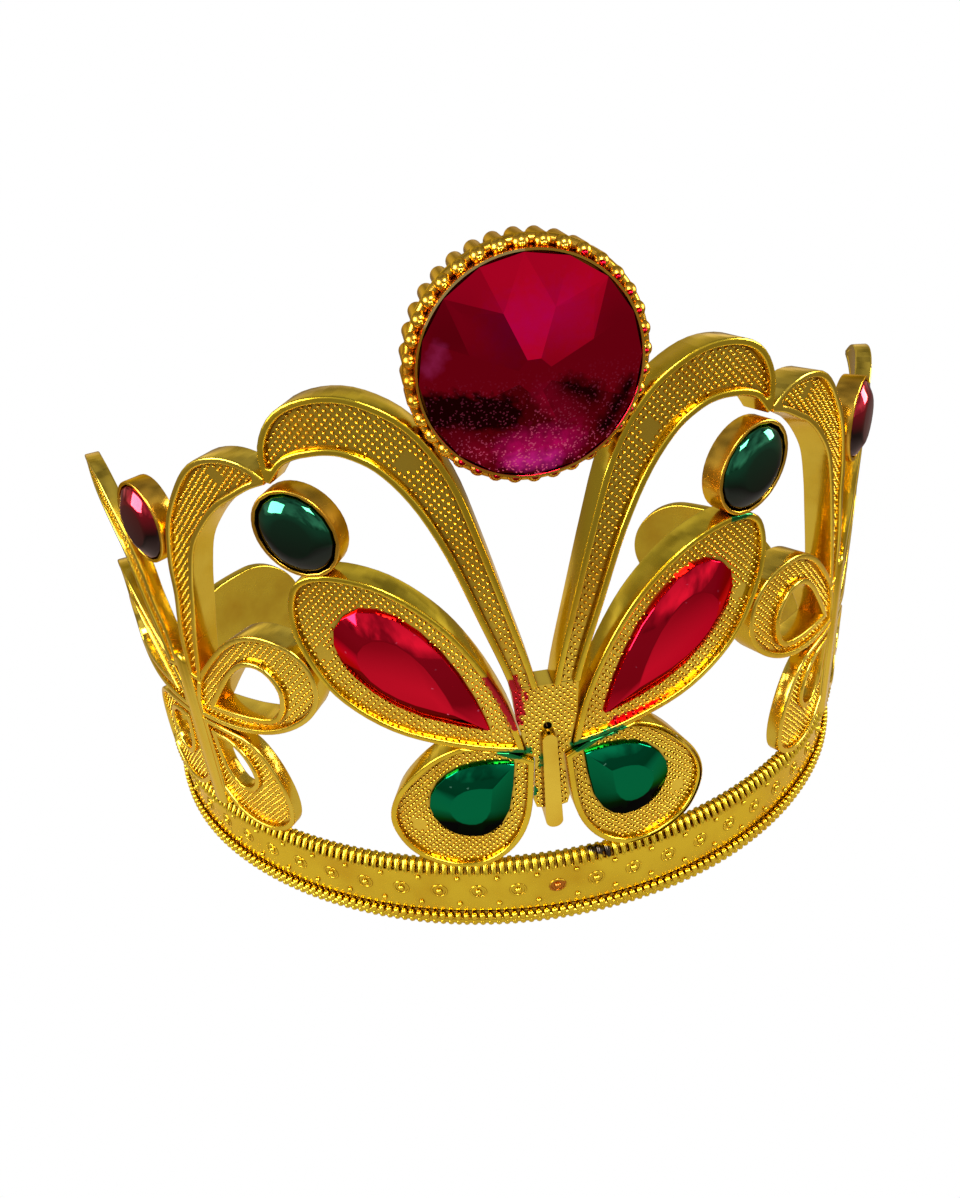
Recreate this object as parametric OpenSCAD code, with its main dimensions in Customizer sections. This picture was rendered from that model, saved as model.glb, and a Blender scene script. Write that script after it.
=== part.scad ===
// Costume tiara: a pierced strip of moulded gold plastic curled into an open ring,
// with a beaded medallion, a butterfly in front and a smaller winged motif at each side.
// Outlines are drawn on the unrolled strip as [s, z]: s runs along the strip from the
// middle of the front, z is the height. They are then wrapped on the ring.

/* [Ring] */
// Radius of the front of the ring, outside
front_r = 80; // [76:1:84]
// Radius of the ring behind the side bars, outside
side_r = 66; // [60:1:72]
// Radius of the end tabs, outside
tab_r = 45; // [42:1:50]
// Depth of the moulding from its rims to its back
wall_t = 4.8; // [3.5:0.1:6]
// Depth of the band, of the leaves on it and of the rear arches
thin_t = 2.7; // [2.4:0.1:3.5]

/* [Relief] */
// Width of the raised rim round each piece
rim_w = 1; // [0.6:0.1:1.3]
// Depth of the pebbled field below the rim
field_d = 0.9; // [0.4:0.1:1.5]
// Space left between neighbouring pieces
gap = 0.1; // [0.05:0.05:0.2]

/* [Band] */
// Height of the band
band_h = 15; // [13:0.5:15]
// Distance along the strip from the front to the end of the ornamented band
band_end = 112; // [106:1:116]
// Height of each rounded lip
lip_h = 2.6; // [2:0.1:3.4]
// Depth of the strip between the lips
strip_d = 1.2; // [0.8:0.1:1.8]
// Height of the plain end tab
tab_h = 27; // [24:0.5:32]
// Distance along the strip from the front to the tip of the end tab
tab_tip = 168; // [164:1:170]
// Thickness of the plain end tab
tab_t = 2.4; // [2:0.1:3]

/* [Medallion] */
// Height of the medallion's centre
medal_z = 102; // [102:0.5:104]
// Radius of the big round stone
round_r = 14; // [13:0.1:14]
// Width of the bezel's thin lip round the big stone
round_lip = 0.4; // [0.3:0.05:0.5]
// Number of beaded ribs round the bezel
rib_count = 36; // [30:1:40]
// Radius of one rib and of the ball on its front
rib_r = 1.15; // [1:0.05:1.2]
// How far the bezel stands out in front of the ring
medal_proud = 2.4; // [1.5:0.1:3]

/* [Stones] */
// Height of a stone's table above its edge
crown_h = 1.3; // [0.8:0.1:2]
// Height of the big stone's table above its edge
round_crown_h = 2.6; // [1.5:0.1:3.5]
// Depth of the pocket under a stone
pocket_d = 2; // [1.5:0.1:2.5]
// Half the length of the green oval stones
green_a = 6.7; // [6.5:0.1:7]
// Half the width of the green oval stones
green_b = 5.8; // [5.6:0.1:6]
// Half the height of the red oval stones
red_a = 6.6; // [6.4:0.1:7]
// Half the width of the red oval stones
red_b = 5.5; // [5.4:0.1:5.7]
// Wall of an oval's setting
setting_w = 0.7; // [0.5:0.1:0.8]
// How far an oval's setting stands out in front of the ring
setting_proud = 0.3; // [0:0.1:1]
// Depth of an oval's setting behind the front of the ring
setting_t = 3.4; // [3:0.1:4.8]

/* [Hidden] */
$fn = 96;
reach = 14;
overlap = 3;
smooth = 5;
side_s = 68.6;
side_bar_w = 3.6;
lower_wing_s = 14;
wing_s = 20;
front_arch_s = 54;
rear_arch_s = 86;
cusp_s = 38.2;
rear_rise = 0.78;
rear_foot = 48;
rib_out = 0.75;
bead_back = 2.2;
tab_in = 0.3;
tab_rise = 32;
green_at = [34.7, 79.8];
green_tilt = 49;
red_at = [68.4, 76.5];
body_z = 51.6;
stone_front = medal_proud + gap + round_crown_h;

// The ring in plan is three arcs to a side, each tangent to the last: front, side and end tab
starts = [0, side_s + side_bar_w/2 + gap/2, band_end];
radii = [front_r, side_r, tab_r];
turn_1 = degrees(starts[1]/front_r);
turn_2 = turn_1 + degrees((starts[2] - starts[1])/side_r);
turns = [0, turn_1, turn_2];
centre_0 = [0, front_r];
centre_1 = centre_0 + (front_r - side_r)*[sin(turn_1), -cos(turn_1)];
centre_2 = centre_1 + (side_r - tab_r)*[sin(turn_2), -cos(turn_2)];
centres = [centre_0, centre_1, centre_2];
middle_y = (centre_2[1] - (tab_r - tab_in)*cos(heading(tab_tip)) - stone_front)/2;

// Tall arch: its middle line as [s, z, width], from the butterfly's body to its tip
tall_arch_rows = [
    [2.4, 46, 4], [3.8, 54, 4.1], [6.9, 65, 4.8], [10.4, 76.8, 5.6], [14, 86, 7.1],
    [18.5, 92.3, 8.2], [23.7, 95.4, 8.5], [28.4, 96, 8.3], [32.9, 94.8, 7.4], [36.2, 91.8, 4.6],
    [37.7, 87.6, 0.9]
];
// Front side arch, the same way, from the side bar to its tip
side_arch_rows = [
    [65.4, 46, 3.4], [64, 55, 4.8], [61.8, 63.3, 5.1], [60.5, 69.5, 6], [58, 76.5, 6.6],
    [54, 82, 7.3], [49.8, 86, 7.8], [45.6, 87.7, 6.8], [41.8, 88.2, 4.4], [38.3, 87.7, 0.9]
];
upper_wing_pts = [
    [3.9, 39.4], [6, 48.2], [10, 57.4], [15.4, 65.2], [22.8, 70.9], [31, 73], [36.8, 71.2],
    [39, 65.5], [38, 58.8], [33.5, 50.9], [24.7, 44.7], [13.3, 41.2], [3.9, 39.4]
];
upper_stone_pts = [
    [9.3, 44.4], [11.2, 50.6], [15.5, 59.2], [21.5, 65.5], [27.5, 66.9], [31.7, 63.4],
    [31.4, 57.8], [26.8, 52], [19.2, 47.5], [9.3, 44.4]
];
lower_wing_pts = [
    [2.6, 37.5], [11, 41.6], [18, 39.6], [24.2, 33.6], [27.2, 28], [27.2, 23], [24.2, 18],
    [18.2, 15.2], [12.3, 15.4], [7, 19.2], [3.8, 26], [2.6, 37.5]
];
lower_stone_pts = [
    [5.8, 37.2], [10, 37.7], [15, 36.6], [19, 33.2], [20.5, 28.8], [18.6, 24.2], [14.6, 22.2],
    [10.4, 23], [7.2, 27.8], [5.8, 37.2]
];
body_pts = [
    [0, body_z], [5.3, body_z], [5, 48], [4.8, 43], [3.7, 36], [3.4, 30], [2.6, 27], [0, 26.4]
];
loop_pts = [
    [66.8, 41], [64.5, 46.4], [60.2, 51.4], [55, 56.4], [50, 59.4], [45, 60.1], [40, 58.6],
    [37, 54.8], [36.8, 49.2], [40, 44.4], [46.5, 40.4], [55, 38.2], [66.8, 37.4]
];
loop_hole_pts = [
    [61.3, 41.6], [57.3, 46.9], [53.8, 51], [50.4, 53.3], [46.8, 53], [44.5, 49.6],
    [45.4, 45.2], [49, 42.9], [61.3, 41.6]
];
leaf_pts = [
    [66.8, 36.9], [60, 36.9], [54, 36], [50, 31.6], [47.6, 25], [47.9, 19.4], [51.6, 16],
    [57, 14.9], [62.5, 16.4], [66.8, 20]
];
leaf_hole_pts = [
    [63.8, 33.8], [60, 33.6], [56.9, 31.5], [55.3, 27.6], [56.6, 24.8], [60, 24], [62.8, 27.6],
    [63.8, 33.8]
];

SIDES = ["left", "right"];
SIDED = [
    "upper_wing", "lower_wing", "upper_wing_stone", "lower_wing_stone", "tall_arch",
    "front_side_arch", "rear_side_arch", "front_loop", "rear_loop", "front_leaf", "rear_leaf",
    "side_bar", "green_setting", "green_stone", "red_setting", "red_stone", "rear_band",
    "end_tab"
];

function degrees(a) = a*180/PI;
// Direction and place of the strip's outer face at s
function arc_of(s) = s < starts[1] ? 0 : s < starts[2] ? 1 : 2;
function arc_heading(k, s) = turns[k] + degrees((s - starts[k])/radii[k]);
function heading(s) = arc_heading(arc_of(s), s);
function place(s) = let (h = heading(s)) centres[arc_of(s)] + radii[arc_of(s)]*[sin(h), -cos(h)];
// A point of the strip in the flat frame that touches the ring at s0: along, up, out
function along_at(s, s0) = (place(s) - place(s0))*[cos(heading(s0)), sin(heading(s0))];
function out_at(s, s0) = (place(s) - place(s0))*[sin(heading(s0)), -cos(heading(s0))];
function flat(pts, s0) = [for (p = pts) [along_at(p[0], s0), p[1]]];

// A smooth path through the points, with n steps to a span
function wrap(i, n) = min(max(i, 0), n);
function spline(p, n = smooth) = let (m = len(p) - 1) [
    for (i = [0:m - 1]) for (k = [0:n - 1])
        let (t = k/n, a = p[i], b = p[i + 1],
             u = (b - p[wrap(i - 1, m)])/2, v = (p[wrap(i + 2, m)] - a)/2)
        (2*t*t*t - 3*t*t + 1)*a + (t*t*t - 2*t*t + t)*u + (3*t*t - 2*t*t*t)*b
            + (t*t*t - t*t)*v,
    p[m]
];
function closed(p) = p[0] == p[len(p) - 1] ? [for (i = [0:len(p) - 2]) p[i]] : p;
function outline(p, n = smooth) = closed(spline(p, n));
function turned(v) = [v[1], -v[0]]/norm(v);
function area(p) = let (n = len(p))
    [for (i = [0:n - 1]) p[i][0]*p[(i + 1)%n][1] - p[i][1]*p[(i + 1)%n][0]]*[for (q = p) 0.5];
// The corner's offset that keeps both of its edges one unit away, with a limit on sharp corners
function mitre(a, b, c) = let (u = turned(b - a), v = turned(c - b)) (u + v)/max(1 + u*v, 0.3);
// The outline moved inwards by d, or outwards where d is negative
function inset(p, d) = let (n = len(p), way = area(p) > 0 ? -d : d) [
    for (i = [0:n - 1])
        let (q = p[i] + way*mitre(p[(i + n - 1)%n], p[i], p[(i + 1)%n]))
        if (min([for (o = p) norm(q - o)]) > 0.96*abs(d)) q
];
// A strip of varying width along a middle line of [s, z, width] rows
function ribbon(rows) = let (c = spline(rows, 4), m = len(c) - 1,
        side = [for (i = [0:m]) turned([for (j = [0, 1]) c[min(i + 1, m)][j] - c[max(i - 1, 0)][j]])])
    concat([for (i = [0:m]) [c[i][0], c[i][1]] + side[i]*c[i][2]/2],
           [for (i = [m:-1:0]) [c[i][0], c[i][1]] - side[i]*c[i][2]/2]);
function oval(at, a, b, tilt = 0, n = 40) = [
    for (i = [0:n - 1]) let (t = 360*i/n)
        at + [a*cos(t)*cos(tilt) - b*sin(t)*sin(tilt), a*cos(t)*sin(tilt) + b*sin(t)*cos(tilt)]
];
function bar(s, w, z1, z2) = [
    [s - w/2, z1], [s + w/2, z1],
    for (t = [0:20:180]) [s + w/2*cos(t), z2 - w/2 + w/2*sin(t)]
];
function mirrored(p) = [for (q = p) [2*side_s - q[0], q[1]]];
function span(p) = [min([for (q = p) q[0]]), max([for (q = p) q[0]])];
function mid(p) = (span(p)[0] + span(p)[1])/2;
function centre(p) = [for (j = [0, 1]) [for (q = p) q[j]]*[for (q = p) 1/len(p)]];

rear_arch_rows = [
    for (r = side_arch_rows)
        [2*side_s - r[0] + 0.2, rear_foot + (r[1] - rear_foot)*rear_rise, r[2]*0.95]
];
tall_arch_out = ribbon(tall_arch_rows);
side_arch_out = ribbon(side_arch_rows);
rear_arch_out = ribbon(rear_arch_rows);
upper_wing_out = outline(upper_wing_pts);
lower_wing_out = outline(lower_wing_pts);
upper_stone_out = outline(upper_stone_pts, 2);
lower_stone_out = outline(lower_stone_pts, 2);
loop_out = outline(loop_pts);
loop_hole = outline(loop_hole_pts, 3);
leaf_out = outline(leaf_pts);
leaf_hole = outline(leaf_hole_pts, 3);
body_out = concat(body_pts, [for (i = [len(body_pts) - 2:-1:1]) [-body_pts[i][0], body_pts[i][1]]]);
side_bar_out = bar(side_s, side_bar_w, band_h + gap, 50.5);
green_out = oval(green_at, green_a + setting_w, green_b + setting_w, green_tilt);
red_out = oval(red_at, red_b + setting_w, red_a + setting_w);
green_stone_out = oval(green_at, green_a, green_b, green_tilt, 18);
red_stone_out = oval(red_at, red_b, red_a, 0, 18);

function turned_round(faces) = [for (f = faces) [for (i = [len(f) - 1:-1:0]) f[i]]];

// The flat frame that touches the ring at s: X along, Y up, Z out
module at(s) {
    translate([place(s)[0], place(s)[1], 0]) rotate([0, 0, heading(s)]) rotate([90, 0, 0]) children();
}
// A section drawn as [-depth, z], swept along the arc that holds the middle of the stretch
module along(s1, s2) {
    k = arc_of((s1 + s2)/2);
    translate([centres[k][0], centres[k][1], 0]) rotate([0, 0, arc_heading(k, s1) - 90])
        rotate_extrude(angle = arc_heading(k, s2) - arc_heading(k, s1))
            translate([radii[k], 0]) children();
}
module prism(p, s0, back = reach, front = reach) {
    at(s0) translate([0, 0, -back]) linear_extrude(back + front) polygon(flat(p, s0));
}
// The part of the wall inside an outline, from depth d1 to depth d2
module slab(p, s0, d1, d2) {
    z = [for (q = p) q[1]];
    intersection() {
        prism(p, s0);
        along(span(p)[0] - overlap, span(p)[1] + overlap)
            translate([-d2, min(z) - 1]) square([d2 - d1, max(z) - min(z) + 2]);
    }
}
// A piece with a raised rim round a sunken field
module relief(p, s0, t = wall_t) {
    difference() {
        slab(p, s0, 0, t);
        slab(inset(p, rim_w), s0, -1, field_d);
    }
}
// A hole right through, with its own raised rim
module rimmed_hole(p, s0, t = wall_t) {
    slab(inset(p, -rim_w), s0, 0, t - 0.5);
}
module room_for(p, s0) {
    prism(inset(p, -gap), s0);
}
module room_for_band() {
    translate([-2*front_r, -reach, 0]) cube([4*front_r, 3*front_r, band_h + gap]);
}
module pocket(p) {
    at(mid(p)) translate([0, 0, -pocket_d]) linear_extrude(reach) polygon(flat(inset(p, -gap), mid(p)));
}
module mirror_left(side) {
    if (side == "left") mirror([1, 0, 0]) children();
    else children();
}

// The band: two rounded lips with a sunken strip between them
module band_section() {
    r = lip_h/2;
    polygon(concat(
        [[-thin_t, 0]], [for (t = [-90:15:90]) [-r + r*cos(t), r + r*sin(t)]],
        [[-strip_d - 0.4, lip_h], [-strip_d, lip_h + 0.4], [-strip_d, band_h - lip_h - 0.4],
         [-strip_d - 0.4, band_h - lip_h]],
        [for (t = [-90:15:90]) [-r + r*cos(t), band_h - r + r*sin(t)]], [[-thin_t, band_h]]
    ));
}
module band() {
    color("gold") along(gap/2 - starts[1], starts[1] - gap/2) band_section();
}
module rear_band() {
    color("gold") along(starts[1] + gap/2, band_end) band_section();
}
module end_tab() {
    r = tab_h/2;
    color("gold") difference() {
        along(band_end + gap, tab_tip + 1) translate([-tab_in - tab_t, 0]) square([tab_t, tab_h]);
        prism(concat(
            [for (k = [-1:8]) let (t = 90*max(k, 0)/8, z = band_h + (tab_h - band_h)*pow(sin(t), 2))
                [band_end + tab_rise*k/8, z]],
            [[band_end + tab_rise, tab_h + 1], [band_end - overlap, tab_h + 1]]
        ), band_end + tab_rise/2);
        at(tab_tip - r) translate([0, 0, -reach]) linear_extrude(2*reach) difference() {
            translate([0, -1]) square([2*r, tab_h + 2]);
            translate([along_at(tab_tip, tab_tip - r) - r, r]) circle(r);
            translate([-1, 0]) square([1 + along_at(tab_tip, tab_tip - r) - r, tab_h]);
        }
    }
}

// The medallion: a flat bezel with ribs that end in balls
module bezel() {
    color("gold") translate([0, 0, medal_z]) rotate([90, 0, 0]) difference() {
        union() {
            translate([0, 0, -wall_t]) cylinder(r = round_r + round_lip, h = wall_t + medal_proud);
            for (i = [0:rib_count - 1]) rotate([0, 0, 360*i/rib_count])
                translate([round_r + rib_out, 0, -wall_t]) {
                    cylinder(r = rib_r, h = wall_t + medal_proud - bead_back, $fn = 24);
                    translate([0, 0, wall_t + medal_proud - bead_back]) sphere(rib_r, $fn = 24);
                }
        }
        translate([0, 0, medal_proud - pocket_d]) cylinder(r = round_r + gap, h = 2*pocket_d);
    }
}
module round_stone() {
    sides = 8;
    table_r = 2;
    kite_r = 8.2;
    tip_r = 11.4;
    slope = (round_crown_h - 0.5)/(tip_r - table_r);
    function ring(r, z, n, a) = [for (i = [0:n - 1]) [r*cos(360*i/n + a), r*sin(360*i/n + a), z]];
    half = 180/sides;
    pts = concat(
        ring(round_r, 0, 2*sides, 0), ring(round_r, pocket_d - gap, 2*sides, 0),
        ring(tip_r, pocket_d + 0.5, sides, 0),
        ring(kite_r, pocket_d + round_crown_h - slope*(kite_r*cos(half) - table_r), sides, half),
        ring(table_r/cos(half), pocket_d + round_crown_h, sides, half)
    );
    g = 2*sides;
    m = 2*g;
    k = m + sides;
    t = k + sides;
    faces = concat(
        [[for (i = [g - 1:-1:0]) i]], [for (i = [0:g - 1]) [i, (i + 1)%g, g + (i + 1)%g, g + i]],
        [for (i = [0:sides - 1]) [m + i, k + i, t + i, t + (i + sides - 1)%sides, k + (i + sides - 1)%sides]],
        [for (i = [0:sides - 1]) [g + 2*i, g + 2*i + 1, k + i]],
        [for (i = [0:sides - 1]) [g + 2*i + 1, g + (2*i + 2)%g, k + i]],
        [for (i = [0:sides - 1]) [g + 2*i, k + i, m + i]],
        [for (i = [0:sides - 1]) [g + (2*i + 2)%g, m + (i + 1)%sides, k + i]],
        [[for (i = [0:sides - 1]) t + i]]
    );
    color("crimson") translate([0, -medal_proud + pocket_d - gap, medal_z]) rotate([90, 0, 0])
        polyhedron(pts, turned_round(faces));
}

module translate_out(s, d) {
    translate([d*sin(heading(s)), -d*cos(heading(s)), 0]) children();
}

// A stone with a table, whose edge follows the wall at the given height above it
module stone(p, hue, lift = 0, table = 0.62) {
    s0 = mid(p);
    n = len(p);
    c = centre(p);
    q = flat(p, s0);
    qc = [along_at(c[0], s0), c[1]];
    rim = [for (i = [0:n - 1]) lift + out_at(p[i][0], s0)];
    top = lift + out_at(c[0], s0) + crown_h;
    pts = concat(
        [for (i = [0:n - 1]) [q[i][0], q[i][1], gap - pocket_d]],
        [for (i = [0:n - 1]) [q[i][0], q[i][1], rim[i]]],
        [for (i = [0:n - 1]) let (e = qc + table*(q[i] - qc)) [e[0], e[1], top]]
    );
    way = area(q) > 0;
    quads = [for (j = [0, n]) for (i = [0:n - 1]) [j + i, j + (i + 1)%n, j + n + (i + 1)%n, j + n + i]];
    caps = [[for (i = [n - 1:-1:0]) i], [for (i = [0:n - 1]) 2*n + i]];
    faces = concat(quads, caps);
    color(hue) at(s0) polyhedron(pts, way ? turned_round(faces) : faces);
}
// A setting that stands a little in front of the wall
module setting(p, stone_p, lift) {
    s0 = mid(p);
    color("gold") difference() {
        at(s0) translate([0, 0, -setting_t]) linear_extrude(setting_t + lift) polygon(flat(p, s0));
        at(s0) translate([0, 0, lift - pocket_d]) linear_extrude(reach)
            polygon(flat(inset(stone_p, -gap), s0));
    }
}

module tall_arch() {
    color("gold") difference() {
        relief(tall_arch_out, wing_s);
        translate([0, 0, medal_z]) rotate([90, 0, 0])
            cylinder(r = round_r + rib_out + rib_r + gap, h = 4*reach, center = true);
        room_for(upper_wing_out, wing_s);
        room_for(green_out, green_at[0]);
        translate([-reach, -reach, 0]) cube([2*reach, 2*reach, body_z + gap]);
    }
}
module side_arch(p, s0, front) {
    color("gold") difference() {
        relief(p, s0, front ? wall_t : thin_t);
        room_for(side_bar_out, side_s);
        room_for(red_out, side_s);
        if (front) {
            room_for(green_out, green_at[0]);
            room_for(tall_arch_out, wing_s);
            prism([[25, 70], [cusp_s, 70], [cusp_s, 99], [25, 99]], wing_s);
        }
    }
}
module upper_wing() {
    color("gold") difference() {
        relief(upper_wing_out, wing_s);
        pocket(upper_stone_out);
        room_for(green_out, green_at[0]);
    }
}
module lower_wing() {
    color("gold") difference() {
        relief(lower_wing_out, lower_wing_s);
        pocket(lower_stone_out);
        room_for(upper_wing_out, wing_s);
        room_for_band();
    }
}
module butterfly_body() {
    bar_ends = [[24.75, 1.45], [41.65, 1.15]];
    color("gold") difference() {
        union() {
            intersection() {
                prism(body_out, 0);
                translate([0, front_r, 0]) difference() {
                    cylinder(r = front_r - field_d, h = 60);
                    cylinder(r = front_r - wall_t, h = 60);
                }
            }
            translate([0, -0.4, 0]) rotate([-90, 0, 0]) linear_extrude(wall_t) mirror([0, 1])
                union() {
                    polygon([for (k = [0, 1]) for (m = [2*k - 1, 1 - 2*k]) [m*bar_ends[k][1], bar_ends[k][0]]]);
                    for (e = bar_ends) translate([0, e[0]]) circle(e[1], $fn = 32);
                }
        }
        for (m = [0, 1]) mirror([m, 0, 0]) {
            room_for(upper_wing_out, wing_s);
            room_for(lower_wing_out, lower_wing_s);
        }
        translate([0, -1, 43.7]) rotate([-90, 0, 0]) cylinder(r = 0.7, h = 3, $fn = 24);
    }
}
module loop(front) {
    p = front ? loop_out : mirrored(loop_out);
    hole = front ? loop_hole : mirrored(loop_hole);
    s0 = mid(p);
    color("gold") difference() {
        union() {
            relief(p, s0);
            rimmed_hole(hole, s0);
        }
        prism(hole, s0);
        room_for(side_bar_out, side_s);
        if (front) room_for(upper_wing_out, wing_s);
        room_for(front ? side_arch_out : rear_arch_out, front ? front_arch_s : rear_arch_s);
    }
}
module leaf(front) {
    p = front ? leaf_out : mirrored(leaf_out);
    hole = front ? leaf_hole : mirrored(leaf_hole);
    s0 = mid(p);
    color("gold") difference() {
        union() {
            relief(p, s0, thin_t);
            rimmed_hole(hole, s0, thin_t);
        }
        prism(hole, s0);
        room_for(side_bar_out, side_s);
        room_for(front ? loop_out : mirrored(loop_out), mid(front ? loop_out : mirrored(loop_out)));
        room_for_band();
    }
}
module side_bar() {
    color("gold") slab(side_bar_out, side_s, -0.4, wall_t);
}

module sided(name) {
    if (name == "upper_wing") upper_wing();
    if (name == "lower_wing") lower_wing();
    if (name == "upper_wing_stone") stone(upper_stone_out, "crimson", -0.2);
    if (name == "lower_wing_stone") stone(lower_stone_out, "seagreen", -0.2, 0.5);
    if (name == "tall_arch") tall_arch();
    if (name == "front_side_arch") side_arch(side_arch_out, front_arch_s, true);
    if (name == "rear_side_arch") side_arch(rear_arch_out, rear_arch_s, false);
    if (name == "front_loop") loop(true);
    if (name == "rear_loop") loop(false);
    if (name == "front_leaf") leaf(true);
    if (name == "rear_leaf") leaf(false);
    if (name == "side_bar") side_bar();
    if (name == "green_setting") setting(green_out, green_stone_out, setting_proud);
    if (name == "green_stone") translate_out(green_at[0], setting_proud) stone(green_stone_out, "seagreen");
    if (name == "red_setting") setting(red_out, red_stone_out, setting_proud);
    if (name == "red_stone") translate_out(red_at[0], setting_proud) stone(red_stone_out, "crimson");
    if (name == "rear_band") rear_band();
    if (name == "end_tab") end_tab();
}
// The origin is below the middle of the whole, on the surface that the band stands on
module set_down() {
    translate([0, -middle_y, 0]) children();
}

set_down() band();
set_down() bezel();
set_down() round_stone();
set_down() butterfly_body();
for (name = SIDED) for (side = SIDES)
    set_down() mirror_left(side) sided(name);
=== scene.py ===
"""Looks of a costume tiara of gold metallised plastic with lacquered stones.

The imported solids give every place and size. Each gold casting is drawn again from the outlines of
its solid, on the unrolled strip, with rounded rims and a pebbled field, and is then wrapped on the
ring. On the strip a point is [along, height, out] in millimetres; finished meshes are in metres.
"""
import logging
import math
from collections.abc import Iterator
from contextlib import contextmanager
from dataclasses import dataclass
from enum import Enum
from functools import cache

import bpy
import numpy as np
from bpy.types import Material as Finish, Node, NodeSocket as Socket, NodeTree as Tree, Object
from mathutils import Matrix, Vector

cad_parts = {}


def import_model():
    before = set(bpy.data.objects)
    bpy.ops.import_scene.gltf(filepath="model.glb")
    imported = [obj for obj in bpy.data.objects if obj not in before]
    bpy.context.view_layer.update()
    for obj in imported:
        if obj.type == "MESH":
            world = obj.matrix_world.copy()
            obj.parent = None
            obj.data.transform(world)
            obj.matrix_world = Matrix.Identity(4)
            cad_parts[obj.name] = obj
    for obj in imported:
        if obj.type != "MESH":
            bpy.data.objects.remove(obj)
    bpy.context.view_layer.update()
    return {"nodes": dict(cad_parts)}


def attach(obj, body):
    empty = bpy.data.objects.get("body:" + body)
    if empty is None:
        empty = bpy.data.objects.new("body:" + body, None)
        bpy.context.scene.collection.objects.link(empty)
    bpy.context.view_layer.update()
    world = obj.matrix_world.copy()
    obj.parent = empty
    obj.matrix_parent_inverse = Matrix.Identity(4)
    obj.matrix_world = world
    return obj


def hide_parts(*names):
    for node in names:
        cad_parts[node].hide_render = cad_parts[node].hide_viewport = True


MM = 0.001
LOG = logging.getLogger("tiara")
Loops = list[np.ndarray]
Unit = tuple[np.ndarray, list[list[int]]]
Pair = tuple[float, float]
Place = Colour = tuple[float, float, float]
Solids = dict[str, Object]


class Slot(Enum):
    """Material slots of the record."""

    GOLD = "gold"
    RED = "red_lacquer"
    GREEN = "green_lacquer"


@dataclass(frozen=True)
class Ring:
    """The ring in plan: three tangent arcs to a side, along the strip's outer face."""

    radii: tuple[float, float, float] = (80.0, 66.0, 45.0)
    starts: tuple[float, float, float] = (0.0, 70.45, 112.0)
    tip: float = 168.0
    tab_in: float = 0.3
    stone_front: float = 5.1

    def arcs(self) -> list[tuple[float, float, float, float, float]]:
        """Works out the arcs one after the other.

        Returns:
            Start, radius, heading, centre x and centre y of each arc.
        """
        arcs = [(0.0, self.radii[0], 0.0, 0.0, self.radii[0])]
        for start, radius in zip(self.starts[1:], self.radii[1:]):
            before, last, heading, x, y = arcs[-1]
            heading += (start - before) / last
            x, y = x + (last - radius) * math.sin(heading), y - (last - radius) * math.cos(heading)
            arcs.append((start, radius, heading, x, y))
        return arcs

    def middle(self) -> float:
        """Works out where the origin is.

        Returns:
            The distance from the ring's outer front face back to the origin.
        """
        start, radius, heading, _, y = self.arcs()[-1]
        tip = heading + (self.tip - start) / radius
        return (y - (radius - self.tab_in) * math.cos(tip) - self.stone_front) / 2

    def wrap(self, flat: np.ndarray) -> np.ndarray:
        """Wraps points of the strip on the ring.

        Args:
            flat: Rows of along, height and out, in millimetres.

        Returns:
            Rows of x, y and z, in metres.
        """
        along = np.abs(flat[:, 0])
        x = y = np.zeros(len(flat))
        for start, radius, heading, cx, cy in self.arcs():
            on = along >= start
            turn = heading + (along - start) / radius
            reach = radius + flat[:, 2]
            x = np.where(on, cx + reach * np.sin(turn), x)
            y = np.where(on, cy - reach * np.cos(turn), y)
        return np.column_stack([x * np.where(flat[:, 0] < 0, -1, 1), y - self.middle(), flat[:, 1]]) * MM

    def unroll(self, points: np.ndarray) -> np.ndarray:
        """Unrolls points of the ring on the strip.

        Args:
            points: Rows of x, y and z, in metres.

        Returns:
            Rows of along, height and out, in millimetres.
        """
        x, y = np.abs(points[:, 0]) / MM, points[:, 1] / MM + self.middle()
        along = out = np.zeros(len(points))
        for start, radius, heading, cx, cy in self.arcs():
            turn = np.arctan2(x - cx, cy - y)
            on = (turn >= heading - 1e-6) | (start == 0)
            along = np.where(on, start + radius * (turn - heading), along)
            out = np.where(on, np.hypot(x - cx, cy - y) - radius, out)
        return np.column_stack([along * np.where(points[:, 0] < 0, -1, 1), points[:, 2] / MM, out])


RING = Ring()


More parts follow.
